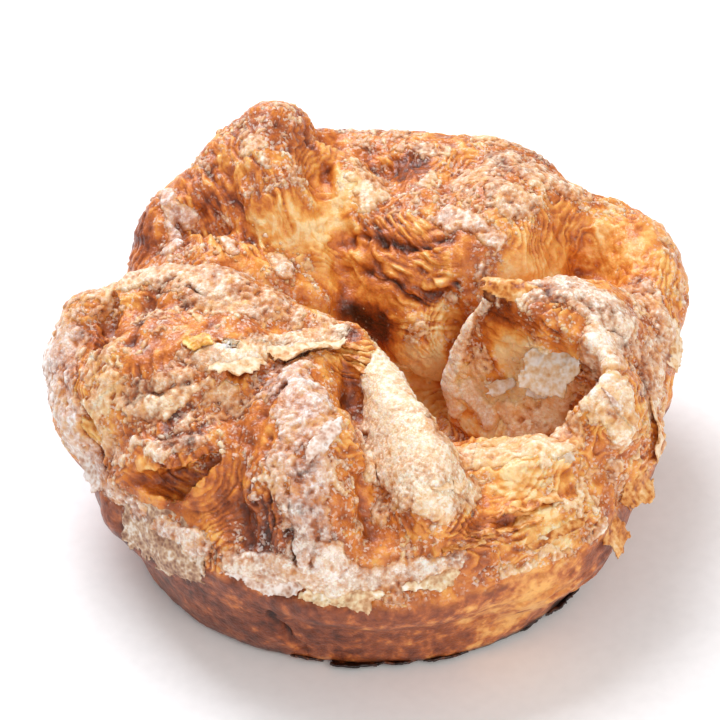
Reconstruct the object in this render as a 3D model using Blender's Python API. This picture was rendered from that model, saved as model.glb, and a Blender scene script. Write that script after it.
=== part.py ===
"""Kouign amann: one square of laminated, sugared dough whose corners are folded in over each other and
baked in a round mould. The turned foot takes the mould's shape, and the folds rise over it, roll out
past its rim and lean in round a deep hollow.

The frame's origin is the middle of the flat underside, +Z is up and -Y is the side with the low rim.
Each fold is a fat roll of dough swept along its own crest line. The rolls and the foot are merged into
one solid, the way the dough is one piece.
"""

import math

import bmesh
import bpy
from mathutils import Vector

MM = 0.001

# Driving dimensions
FOOT_RADIUS = 35.8 * MM       # flat underside, where the dough met the mould's floor
SHOULDER_RADIUS = 39.5 * MM   # widest ring of the foot, under the folds
SHOULDER_HEIGHT = 17.0 * MM
FOOT_SQUARENESS = 0.02        # how far the foot bulges towards the four corners of the square of dough
TOE_ROUNDING = 1.6 * MM       # rounding between the underside and the side
TOE_SWEEP = 70.0              # degrees that the toe's rounding turns through
TOE_STEPS = 4
SHOULDER_ROUNDING = 8.0 * MM  # how far in the foot's top edge is rounded
SHOULDER_STEPS = 6
FOOT_SIDES = 64               # points round the foot
FOOT_OFFSET = -1.2 * MM       # the foot's middle lies a little to the left of the crown's
HOLLOW_RADIUS = 9.0 * MM      # dimple in the foot's top, the floor of the hollow
HOLLOW_FLOOR = 11.0 * MM
HOLLOW_CENTRE = (8.5 * MM, 3.0 * MM)
HOLLOW_REACH = 22.5 * MM      # how far from the foot's axis its top moves with the hollow
VALLEY_HEIGHT = 25.0 * MM     # top of the foot between the folds

ROLL_SIDES = 20               # points round a roll of dough
ROLL_STEPS = 20               # spans along a roll of dough
CAP_STEPS = 5                 # rings over each round end
CAP_TIP = 0.3                 # how far short of its point each round end stops, in rings
CREST_GLANCE = 0.03           # share of a crest line looked ahead and behind to find its direction
MERGE_VOXEL = 0.7 * MM        # grain of the merge
WELD_DISTANCE = 0.01 * MM     # points this close become one
SOFTENING_ROUNDS = 12
UNDERSIDE_CUT = 0.25 * MM     # height of the cut that makes the underside flat
TRIANGLES = 9000              # of the finished solid
SHARP_ANGLE = 60.0            # degrees past which an edge stays crisp

BAKED_COLOUR = (0.52, 0.23, 0.07, 1.0)
BAKED_ROUGHNESS = 0.5

# The folds. Each crest runs from the rim towards the hollow: (x, y, height of the crest, half width,
# half thickness), in millimetres.
FOLDS = {
    "left": [(-36, -3, 33, 11, 12), (-30, -5, 38, 13, 14), (-22, -6, 39, 14, 15), (-15, -6, 38, 11, 14),
             (-10, -6, 37, 9, 12)],
    "left_ridge": [(-40, 5, 35, 7, 10), (-31, 6, 38, 7, 11), (-23, 4, 40, 8, 11), (-15, 1, 38, 7, 10),
                   (-8, -2, 37, 5, 9)],
    "left_rim": [(-40, 8, 31, 5, 9), (-43, 1, 31, 5, 8), (-38.5, -7, 28, 5, 8), (-33.5, -15.5, 24, 6, 8),
                 (-30, -20, 21, 5, 7)],
    "left_front": [(-29, -16, 30, 9, 11), (-24, -18, 33, 10, 12), (-19, -18, 33, 8, 11)],
    "left_lip": [(-29, -20, 20, 4, 5), (-26, -25, 19, 4, 5), (-19, -29, 20, 4, 5)],
    "front_bulge": [(-8, -7, 37, 6, 9), (-11, -15, 38, 9, 12), (-10, -23, 36, 10, 12), (-8, -29, 29, 9, 10)],
    "front_column": [(-18, -19, 32, 6, 9), (-17, -26, 26, 5, 8), (-15, -30, 22, 4, 6)],
    "front": [(-5, -1, 37, 4, 10), (1, -12, 36, 5, 12), (5, -20, 36, 6, 13), (7, -26, 32, 7, 12),
              (8, -30, 26, 6, 9)],
    "saddle": [(12, -20, 28, 7, 10), (19, -20, 28, 8, 11), (26, -18, 28, 7, 11), (30, -15, 28, 6, 10)],
    "front_slope": [(8, -28, 25, 7, 9), (17, -27, 25, 8, 10), (25, -23, 25, 8, 10), (31, -16, 24, 6, 9)],
    "front_rim": [(-18, -30, 20, 4, 5), (-8, -35, 21, 5, 5), (4, -36, 21, 5, 5), (15, -32, 21, 5, 5),
                  (24, -26, 21, 5, 5), (31, -18, 22, 4, 5), (35, -9, 23, 4, 5)],
    "right": [(37, 8, 31, 8, 9), (33, 6, 35, 10, 12), (27, 3, 38, 11, 14), (21, 3, 38, 9, 15),
              (16, 4, 38, 5, 14)],
    "right_front": [(28, -3, 37, 8, 12), (31, -8, 34, 8, 12), (32, -12, 30, 7, 11), (30, -16, 26, 6, 8)],
    "right_rim": [(39, 13, 30, 5, 6), (39, 6, 29, 5, 6), (37, -2, 27, 5, 6), (36.5, -8, 25, 5, 6),
                  (35, -14, 23, 4, 6)],
    "back": [(20, 33, 36, 10, 11), (19, 28, 39, 12, 13), (15, 21, 37, 12, 13), (11, 17, 32, 9, 11),
             (9, 14, 28, 6, 8)],
    "back_middle": [(8, 33, 37, 9, 11), (7, 26, 37, 9, 12), (7, 20, 34, 9, 12), (7, 16, 30, 7, 10)],
    "back_ridge": [(-12, 36, 41, 6, 11), (-7, 33, 39, 8, 12), (-1, 27, 37, 8, 12), (3, 20, 34, 8, 11),
                   (6, 16, 30, 6, 9)],
    "back_rim": [(-8, 43, 36, 6, 8), (2, 41, 36, 7, 9), (10, 39, 37, 8, 9), (20, 36, 37, 8, 9),
                 (28, 30, 35, 7, 9)],
    "back_skirt": [(-28, 22, 24, 7, 7), (-22, 33, 26, 7, 8), (-6, 38, 27, 7, 8), (10, 38, 27, 7, 8),
                   (26, 31, 26, 7, 8), (36, 18, 25, 6, 7), (39, 4, 24, 5, 6)],
    "back_right": [(25, 31, 35, 7, 9), (36, 28, 33, 7, 8), (40.5, 21, 32, 6, 7), (39.5, 13, 30, 6, 7)],
    "back_right_valley": [(34, 18, 27, 8, 10), (27, 16, 26, 9, 11), (20, 13, 25, 8, 10)],
    "back_left": [(-15, 41, 47, 6, 12), (-16, 33, 43, 8, 13), (-13, 26, 37, 8, 12), (-9, 21, 32, 6, 10),
                  (-6, 18, 29, 4, 8)],
    "back_left_shoulder": [(-31, 27, 31, 6, 10), (-29, 30, 35, 7, 12), (-22, 34, 39, 8, 13),
                           (-17, 39, 44, 7, 12)],
    "back_left_foot": [(-30, 20, 30, 6, 10), (-24, 19, 34, 7, 11), (-17, 17, 33, 7, 10), (-10, 15, 30, 5, 8)],
}

# The deep hollow between the folds, in the same terms. Only the lower half of this shape cuts the dough.
HOLLOW = [(5, 6, 62, 4, 27), (8, 1, 62, 7, 26), (14, -4, 62, 8, 25), (20, -7, 62, 7, 23),
          (25, -8, 62, 5, 21)]


def clear_scene():
    for leftover in list(bpy.data.objects):
        bpy.data.objects.remove(leftover)


def foot_profile():
    """Half outline of the foot, from the middle of the underside out, up the side and in over the top."""
    points = [(0.0, 0.0)]
    for step in range(TOE_STEPS + 1):
        turn = math.radians(-90 + TOE_SWEEP * step / TOE_STEPS)
        points.append((FOOT_RADIUS - TOE_ROUNDING + TOE_ROUNDING * math.cos(turn),
                       TOE_ROUNDING + TOE_ROUNDING * math.sin(turn)))
    points.append((SHOULDER_RADIUS, SHOULDER_HEIGHT))
    for step in range(1, SHOULDER_STEPS + 1):
        turn = math.radians(90 * step / SHOULDER_STEPS)
        points.append((SHOULDER_RADIUS - SHOULDER_ROUNDING * (1 - math.cos(turn)),
                       SHOULDER_HEIGHT + (VALLEY_HEIGHT - SHOULDER_HEIGHT) * math.sin(turn)))
    points.append((HOLLOW_RADIUS * 2, VALLEY_HEIGHT))
    points.append((HOLLOW_RADIUS, HOLLOW_FLOOR))
    points.append((0.0, HOLLOW_FLOOR))
    return points


def make_foot():
    """The turned foot, with the hollow's dimple moved off the axis."""
    mesh = bmesh.new()
    ring = [mesh.verts.new((x, 0, z)) for x, z in foot_profile()]
    edges = [mesh.edges.new(pair) for pair in zip(ring, ring[1:])]
    bmesh.ops.spin(mesh, geom=ring + edges, cent=(0, 0, 0), axis=(0, 0, 1), angle=math.tau,
                   steps=FOOT_SIDES)
    bmesh.ops.remove_doubles(mesh, verts=mesh.verts, dist=WELD_DISTANCE)
    for vert in mesh.verts:
        corner = math.cos(4 * (math.atan2(vert.co.y, vert.co.x) - math.pi / 4))
        vert.co.xy *= 1 + FOOT_SQUARENESS * corner
        vert.co.x += FOOT_OFFSET
        if vert.co.z > HOLLOW_FLOOR - WELD_DISTANCE and vert.co.xy.length < HOLLOW_REACH:
            vert.co.x += HOLLOW_CENTRE[0]
            vert.co.y += HOLLOW_CENTRE[1]
    bmesh.ops.recalc_face_normals(mesh, faces=mesh.faces)
    return mesh


def smooth_value(values, place):
    """Catmull-Rom value at place, from 0 to 1, along a list of numbers."""
    spans = len(values) - 1
    span = min(int(place * spans), spans - 1)
    t = place * spans - span
    a = values[max(span - 1, 0)]
    b = values[span]
    c = values[span + 1]
    d = values[min(span + 2, spans)]
    return b + 0.5 * t * (c - a + t * (2 * a - 5 * b + 4 * c - d + t * (3 * (b - c) + d - a)))


def add_roll(mesh, crest):
    """Adds one closed roll of dough under the crest line. A round end runs past each end of the line."""
    columns = list(zip(*crest))

    def at(place):
        x, y, top, width, thick = (smooth_value(column, place) * MM for column in columns)
        return Vector((x, y, top - thick)), width, thick

    places = [0.0] * CAP_STEPS + [step / ROLL_STEPS for step in range(ROLL_STEPS + 1)] + [1.0] * CAP_STEPS
    last = len(places) - 1
    rings = []
    for index, place in enumerate(places):
        centre, width, thick = at(place)
        ahead = at(min(place + CREST_GLANCE, 1))[0]
        behind = at(max(place - CREST_GLANCE, 0))[0]
        along = (ahead - behind).normalized()
        side = along.cross(Vector((0, 0, 1))).normalized()
        up = side.cross(along).normalized()
        into_cap = max(CAP_STEPS - index, index - (last - CAP_STEPS), 0) / (CAP_STEPS + CAP_TIP)
        swell = math.cos(into_cap * math.pi / 2)
        outward = math.copysign(width * math.sin(into_cap * math.pi / 2), place - 0.5)
        centre += along * outward
        ring = []
        for corner in range(ROLL_SIDES):
            angle = math.tau * corner / ROLL_SIDES
            ring.append(mesh.verts.new(centre + side * (width * swell * math.cos(angle))
                                       + up * (thick * swell * math.sin(angle))))
        rings.append(ring)
    for near, far in zip(rings, rings[1:]):
        for corner in range(ROLL_SIDES):
            other = (corner + 1) % ROLL_SIDES
            mesh.faces.new((near[corner], near[other], far[other], far[corner]))
    mesh.faces.new(rings[0][::-1])
    mesh.faces.new(rings[-1])


def make_dough():
    """Foot and folds in one mesh, whose overlapping shells the Remesh modifier then merges."""
    mesh = make_foot()
    for crest in FOLDS.values():
        add_roll(mesh, crest)
    data = bpy.data.meshes.new("pastry")
    mesh.to_mesh(data)
    mesh.free()
    dough = bpy.data.objects.new("pastry", data)
    bpy.context.scene.collection.objects.link(dough)
    return dough


def make_cutter():
    """The hollow's shape, as a helper that is never rendered."""
    mesh = bmesh.new()
    add_roll(mesh, HOLLOW)
    bmesh.ops.recalc_face_normals(mesh, faces=mesh.faces)
    data = bpy.data.meshes.new("hollow_cutter")
    mesh.to_mesh(data)
    mesh.free()
    cutter = bpy.data.objects.new("hollow_cutter", data)
    bpy.context.scene.collection.objects.link(cutter)
    cutter.hide_render = True
    cutter.display_type = "WIRE"
    return cutter


def merge_dough(dough, cutter):
    merge = dough.modifiers.new("merge", "REMESH")
    merge.mode = "VOXEL"
    merge.voxel_size = MERGE_VOXEL
    hollow = dough.modifiers.new("hollow", "BOOLEAN")
    hollow.operation = "DIFFERENCE"
    hollow.solver = "EXACT"
    hollow.object = cutter
    even = dough.modifiers.new("even", "REMESH")
    even.mode = "VOXEL"
    even.voxel_size = MERGE_VOXEL
    soften = dough.modifiers.new("soften", "SMOOTH")
    soften.factor = 0.5
    soften.iterations = SOFTENING_ROUNDS


def thin_out(dough):
    """Keeps the number of triangles near TRIANGLES."""
    graph = bpy.context.evaluated_depsgraph_get()
    dense = dough.evaluated_get(graph).data
    dense.calc_loop_triangles()
    share = TRIANGLES / len(dense.loop_triangles)
    thin = dough.modifiers.new("thin", "DECIMATE")
    thin.ratio = share


def bake(dough):
    """Applies the modifiers, so that the underside can be cut flat afterwards."""
    graph = bpy.context.evaluated_depsgraph_get()
    data = bpy.data.meshes.new_from_object(dough.evaluated_get(graph), depsgraph=graph)
    dough.modifiers.clear()
    dough.data = data


def flatten_underside(dough):
    """Cuts the underside flat, and moves the solid so that the middle of its box's floor is the origin."""
    mesh = bmesh.new()
    mesh.from_mesh(dough.data)
    everything = mesh.verts[:] + mesh.edges[:] + mesh.faces[:]
    cut = bmesh.ops.bisect_plane(mesh, geom=everything, plane_co=(0, 0, UNDERSIDE_CUT),
                                 plane_no=(0, 0, 1), clear_inner=True)
    rim = [edge for edge in cut["geom_cut"] if isinstance(edge, bmesh.types.BMEdge)]
    bmesh.ops.contextual_create(mesh, geom=rim)
    bmesh.ops.recalc_face_normals(mesh, faces=mesh.faces)
    low = [min(vert.co[axis] for vert in mesh.verts) for axis in range(3)]
    high = [max(vert.co[axis] for vert in mesh.verts) for axis in range(3)]
    middle = Vector(((low[0] + high[0]) / 2, (low[1] + high[1]) / 2, low[2]))
    bmesh.ops.translate(mesh, verts=mesh.verts, vec=-middle)
    mesh.to_mesh(dough.data)
    mesh.free()


def dough_material():
    material = bpy.data.materials.new("baked_dough")
    material.use_nodes = True
    shader = material.node_tree.nodes["Principled BSDF"]
    shader.inputs["Base Color"].default_value = BAKED_COLOUR
    shader.inputs["Roughness"].default_value = BAKED_ROUGHNESS
    shader.inputs["Metallic"].default_value = 0.0
    return material


def finish(dough):
    dough.data.materials.clear()
    dough.data.materials.append(dough_material())
    dough.data.shade_smooth()
    dough.data.set_sharp_from_angle(angle=math.radians(SHARP_ANGLE))


clear_scene()
pastry = make_dough()
merge_dough(pastry, make_cutter())
thin_out(pastry)
bake(pastry)
flatten_underside(pastry)
finish(pastry)
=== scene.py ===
"""A sugared kouign amann: a round of laminated butter dough whose folded corners have baked into brown,
caramelised ridges around an open middle. Sizes in the tables are millimetres."""
import math
from functools import partial

import bpy
import numpy as np
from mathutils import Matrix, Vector
from mathutils.bvhtree import BVHTree


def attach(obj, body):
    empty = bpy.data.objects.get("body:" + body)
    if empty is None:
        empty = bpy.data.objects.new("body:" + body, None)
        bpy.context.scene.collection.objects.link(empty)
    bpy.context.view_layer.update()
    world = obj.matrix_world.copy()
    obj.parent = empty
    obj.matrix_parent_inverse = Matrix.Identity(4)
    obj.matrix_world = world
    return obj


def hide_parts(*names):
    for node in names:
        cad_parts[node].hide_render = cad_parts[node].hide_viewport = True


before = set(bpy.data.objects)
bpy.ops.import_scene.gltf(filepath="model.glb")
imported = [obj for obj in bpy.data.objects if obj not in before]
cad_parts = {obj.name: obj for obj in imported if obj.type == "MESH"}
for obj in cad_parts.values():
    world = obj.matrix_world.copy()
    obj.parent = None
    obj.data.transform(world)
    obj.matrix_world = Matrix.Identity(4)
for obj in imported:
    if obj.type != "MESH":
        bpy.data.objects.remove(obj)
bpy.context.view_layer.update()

# Millimetres, apart from MM, counts and shares.
MM = 0.001
VOXEL = 0.25
DOUGH_TRIANGLES = 196000
CRUST_DEPTH = 0.7
CRUST_SINK = 0.12
# The crust rises to its full height between these amounts of sugar, and fills this share of the fine furrows.
CRUST_STARTS = (0.42, 0.56)
SUGAR_FILL = 0.75
SEAM_DIP = 0.35
THINNING_BIAS = 2e-6
# Where the foot's middle is, how far from it the hollow's walls reach, and how high the foot's wall ends.
FOOT_CENTRE = (-0.6, -4.0)
HOLLOW_REACH = 24.0
LIP_HEIGHT = 19.0

# The sugar crust has cracked into pieces: the middle of each, seen from above.
CRUST_ZONES = {
    "crust_left": (-32, -4), "crust_left_front": (-28, -24), "crust_front": (-9, -34),
    "crust_middle": (5, -22), "crust_right": (35, -6), "crust_right_front": (24, -26), "crust_back": (14, 28),
    "crust_back_left": (-22, 26),
}

# Openings between the layers: points along each, with the radius of the gap there.
GAPS = {
    "lip_pocket": [(-36, -25, 24, 0.5), (-31, -27, 25, 2.0), (-27, -28, 26, 2.6), (-24, -28, 28, 1.8),
        (-21, -27, 30, 0.6)],
    "rim_slot": [(-37, 2, 35.5, 0.4), (-37.6, -3, 34.0, 1.9), (-38.2, -7, 33.0, 1.6), (-38, -11, 32.5, 0.4)],
    "low_slot": [(-40, -12, 29, 0.4), (-40.2, -16, 26.3, 1.3), (-39, -19, 25, 0.5)],
    "ridge_hole": [(-22, -12, 38, 0.5), (-20, -13, 37, 1.0), (-18, -13, 38, 0.4)],
    "column_gap": [(-18, -30, 28, 0.4), (-18, -33, 26, 0.9), (-18, -37, 23, 0.4)],
}

# Valleys pressed into the surface: points, half width, depth, browning inside (real browning, and painted
# shade along the valley floor).
CREASES = {
    "lobe_groove": ([(-3.5, -14, 34), (-2.6, -18, 32), (-2.2, -24, 30), (-1.6, -31, 29), (0, -36, 25)],
        1.6, 1.5, 0.10),
    "break_line": ([(-6, -10, 35), (-10, -12, 36), (-15, -15, 36), (-20, -17, 36)], 0.9, 0.9, 0.32),
    "break_line_low": ([(-20, -17, 36), (-25, -20, 34), (-29, -23, 31)], 1.2, 0.35, 0.14),
    "lip_fill": ([(-37, -22, 15), (-34, -27, 12), (-30, -31, 10)], 3.0, -1.0, 0.0),
    "dome_bulge": ([(-12, -20, 37), (-16, -25, 35), (-17, -29, 31), (-18, -32, 27), (-17, -37, 23)],
        1.3, 1.2, 0.10),
    "column_split": ([(-14, -28, 34), (-14, -34, 30), (-15, -39, 23)], 1.0, 1.2, 0.16),
    "column_split_2": ([(-10, -33, 32), (-11, -37, 28), (-11, -41, 23)], 0.9, 1.5, 0.20),
    "column_split_3": ([(-7, -34, 31), (-7, -38, 27), (-8, -41, 23)], 0.8, 0.8, 0.14),
    "caramel_streak": ([(-29, 1, 38), (-32, -1, 37), (-33, -6, 36), (-34, -10, 37)], 1.0, 0.9, 0.45),
    "ridge_line": ([(-26, -1, 39), (-22, -6, 39), (-24, -12, 38)], 0.8, 0.6, 0.35),
    "dome_line": ([(-22, -17, 36), (-27, -18, 35), (-32, -18, 33), (-37, -15, 30)], 0.8, 0.6, 0.26),
    "dome_line_2": ([(-19, -21, 35), (-24, -24, 32), (-29, -25, 29)], 0.9, 0.7, 0.38),
    "nose_band_1": ([(-3, 20, 35), (2, 15, 34), (7, 14, 34), (12, 14, 36)], 1.05, 1.0, 0.75),
    "nose_band_2": ([(-1, 13, 31), (4, 10, 30), (9, 8, 29), (12, 8, 31)], 1.05, 1.1, 0.75),
    "nose_band_3": ([(-3, 17, 33), (2, 12, 31), (7, 11, 31), (12, 11, 33)], 0.8, 0.7, 0.12),
    "back_valley": ([(-5, 38, 36), (-8, 26, 37), (-7, 20, 35), (-5, 16, 31), (-4, 12, 28)], 1.6, 1.0, -0.10),
    "peak_fold_1": ([(-14, 37, 43), (-9, 31, 39), (-5, 24, 36), (-3, 17, 32)], 1.1, 0.9, 0.16),
    "peak_fold_2": ([(-18, 31, 42), (-15, 25, 39), (-12, 20, 36)], 1.1, 0.9, 0.20),
    "strata_1": ([(-23, 30, 39), (-21, 24, 36), (-18, 17, 33)], 1.1, 1.2, 0.14),
    "strata_2": ([(-27, 28, 36), (-25, 23, 34), (-24, 17, 32)], 1.0, 1.1, 0.18),
    "strata_3": ([(-30, 24, 33), (-28, 20, 32), (-27, 15, 32)], 1.2, 1.2, 0.10),
    "right_wall": ([(17, 1, 33), (22, -4, 33), (28, -8, 31), (31, -12, 29)], 1.5, 0.6, 0.05),
    "right_crack": ([(30, -2, 37), (34, -5, 35), (38, -5, 32)], 0.7, 0.7, 0.20),
    "right_crack_2": ([(34, -10, 32), (37, -13, 29), (38, -18, 25)], 0.7, 0.7, 0.15),
    "front_band": ([(6, -36, 26), (12, -36, 24), (20, -33, 24), (28, -28, 24)], 1.1, 0.8, 0.18),
    "front_band_2": ([(12, -33, 27), (19, -31, 26), (27, -26, 26), (33, -20, 25)], 0.8, 0.6, 0.08),
    "lip_left": ([(-37, -22, 18), (-34, -27, 14), (-29, -33, 12), (-23, -38, 15)], 1.2, 0.3, 0.08),
    "lip_front": ([(-19, -39, 18), (-10, -42, 18), (-4, -43, 18), (6, -42, 18), (15, -39, 18)],
        1.2, 0.9, 0.08),
    "lip_right": ([(12, -40, 18), (22, -36, 18), (31, -28, 18), (37, -19, 19), (40, -9, 20)], 1.3, 1.0, 0.05),
    "wall_ridge_1": ([(12, -38, 8), (20, -36, 14), (30, -29, 19)], 0.8, 0.45, 0.08),
    "wall_ridge_2": ([(18, -35, 6), (26, -31, 12), (34, -23, 18)], 0.8, 0.45, 0.08),
    "wall_ridge_3": ([(25, -31, 6), (31, -25, 12), (37, -15, 18)], 0.8, 0.40, 0.06),
    "foot_crack": ([(-14, -39.6, 11.2), (-12.8, -39.2, 9), (-12, -39.1, 7), (-10, -38.6, 3.7),
        (-9.4, -38.4, 2.6)], 0.7, 1.8, 0.80),
}

# Sugar crusts: points with the half width there, then how much sugar and how frosted (0 cream, 1 grey white,
# the grey white partly a painted cool reflection).
CRUSTS = {
    "lobe": ([(2.2, -11.5, 35.5, 2.4), (2, -15, 35, 4.2), (3, -21, 35, 5.0), (5, -28, 34, 6.0),
        (8, -33, 32, 6.5), (13, -31, 28, 4.5)], 1.55, 0.05),
    "lobe_side": ([(-0.4, -16, 34, 2.0), (0, -19, 33, 2.6), (0, -24, 30.5, 3.0), (2, -28, 29.5, 3.2),
        (4, -32, 29, 3.0)], 1.40, 0.10),
    "flap": ([(-24, -15, 37, 2.0), (-17, -13, 38, 3.0), (-10, -10, 37, 3.2), (-5, -8, 36, 2.5)], 1.1, 0.15),
    "dome": ([(-36, -16, 31, 6), (-29, -20, 33, 6.5), (-22, -20, 35, 5)], 0.72, 0.10),
    "ridge": ([(-33, 4, 37, 4), (-26, 2, 39, 5.5), (-18, -2, 39, 6), (-12, -5, 38, 4)], 0.85, 0.30),
    "rim": ([(-41, 3, 31, 4), (-44, -6, 28, 4.5), (-43, -14, 24, 4), (-40, -20, 20, 3)], 1.0, 0.90),
    "rim_top": ([(-38, 3, 34, 3.5), (-39, -5, 34, 3), (-39, -11, 31, 3)], 0.70, 0.30),
    "bulge": ([(-12, -17, 36, 5), (-9, -23, 37, 6), (-9, -30, 34, 6), (-8, -37, 27, 5)], 0.90, 0.85),
    "columns": ([(-16, -29, 31, 2.5), (-15.5, -34, 27, 2.2), (-15.5, -38, 22, 2.2)], 0.58, 0.75),
    "lip_front": ([(-19, -38, 20, 2.2), (-11, -41, 21, 2.6), (-4, -43, 21, 3.2), (5, -42, 22, 2.6),
        (12, -39, 22, 2)], 1.2, 0.55),
    "front_patch": ([(-10, -40, 24, 2.5), (-6, -41, 23, 3.0), (-2, -42, 21.5, 2.6)], 1.25, 0.65),
    "lip_left": ([(-37, -22, 19, 3), (-33, -27, 20, 3.2), (-27, -32, 20, 3), (-22, -35, 20, 2)], 0.90, 0.70),
    "saddle": ([(13, -24, 28, 5), (19, -22, 28, 6), (27, -20, 28, 5)], 0.80, 0.05),
    "purple_band": ([(10, -41, 20.7, 2.0), (18, -39, 19.2, 2.4), (26, -35.5, 18.6, 2.3),
        (32, -29, 18.8, 2.0)], 0.60, 0.45),
    "right_top": ([(23, 0, 38, 3.5), (30, 0, 37, 4.5), (35, -3, 35, 5), (33, -10, 33, 4.5)], 1.20, 0.35),
    "right_rim": ([(38, 8, 31, 5), (42, 3, 28, 5), (41, -4, 27, 4), (39, -12, 25, 4)], 0.80, 0.40),
    "right_front": ([(33, -16, 31, 5), (35, -19, 28, 4)], 1.05, 0.25),
    "back_top": ([(22, 20, 38, 5), (16, 24, 38, 6), (20, 30, 38, 6), (28, 27, 36, 5), (35, 24, 32, 4)],
        0.74, 0.20),
    "back_left_top": ([(-17, 31, 43, 5), (-13, 23, 39, 4.5), (-11, 17, 36, 3)], 0.55, 0.30),
    "back_ridge": ([(-3, 29, 37, 3), (0, 22, 36, 3), (3, 33, 37, 4), (11, 34, 37, 4)], 0.65, 0.15),
    "corner": ([(-31, 25, 34, 2.4), (-28, 22, 33, 3.2), (-30, 17, 32, 2.2)], 0.92, 0.95),
    "back_rim": ([(-22, 34, 38, 4), (-8, 40, 36, 4), (6, 41, 35, 4), (20, 37, 36, 4), (31, 30, 33, 4)],
        0.42, 0.20),
    "inner_wall": ([(19, -5, 19, 2.5), (23, -8, 18, 3), (26, -8.6, 21, 3), (27, -9, 26, 3)], 1.05, 0.0),
    "inner_wall_left": ([(12, 0, 19, 2), (14.5, -1, 19, 2.2), (17, -4, 16.5, 2.2)], 1.35, 0.30),
    "hollow_rim": ([(12, -15, 28, 2.5), (18, -17, 28, 3), (25, -15, 29, 3)], 1.35, 0.05),
    "wall_edge": ([(17, 1, 35, 1.6), (14.4, 1.8, 30.4, 1.5), (12.5, 0.8, 25, 1.4), (11.3, 0, 19, 1.5),
        (12.4, -1.7, 15.4, 1.5)], 1.25, 0.10),
    "pocket_brow": ([(-37, -20, 24.5, 2.2), (-32.4, -24.5, 27.5, 2.4), (-28, -25.5, 30, 2.2),
        (-23.8, -25, 32, 2.0)], 0.85, 0.40),
    "nose_sugar": ([(11, 18, 36, 2.0), (14, 16, 36.5, 2.8), (18, 13.5, 36, 3.0)], 1.02, 0.55),
    "lump_1": ([(-21, 17, 34, 1.7), (-20, 14.5, 33, 2.0)], 1.6, 0.25),
    "lump_2": ([(-14, 14, 33, 2.0), (-12.5, 12, 31.5, 1.8)], 1.6, 0.30),
}

# Layers that show at an edge: centre, reach, what they run around or along, spacing, depth.
LAYERS = {
    "front_slope": ((18, -30, 25), 15, "along", (0, 0, 1), 1.2, 0.35),
    "saddle": ((20, -22, 27), 11, "around", (8, -6, 30), 1.3, 0.28),
    "right_side": ((36, -12, 26), 13, "along", (0.3, 0, 1), 1.6, 0.40),
    "nose": ((5, 14, 33), 11, "around", (17, 26, 38), 1.9, 0.50),
    "back_left": ((-20, 22, 36), 14, "along", (0.93, 0.35, 0.1), 1.8, 0.55),
    "left_dome": ((-28, -22, 30), 12, "around", (-6, -8, 36), 1.8, 0.35),
    "columns": ((-12, -34, 28), 9, "along", (1, 0.15, 0), 1.9, 0.60),
    "foot_right": ((26, -32, 12), 17, "along", (-0.5, 0.3, 0.9), 2.6, 0.22),
    "back_side": ((5, 44, 22), 30, "along", (0.1, 0, 1), 2.0, 0.30),
    "hollow_nose": ((7, 9, 27), 8, "around", (16, 26, 40), 1.4, 0.40),
    "stack": ((-2, -12, 35.3), 5.5, "along", (0.30, 0.75, 0.55), 0.95, 0.55),
}

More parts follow.
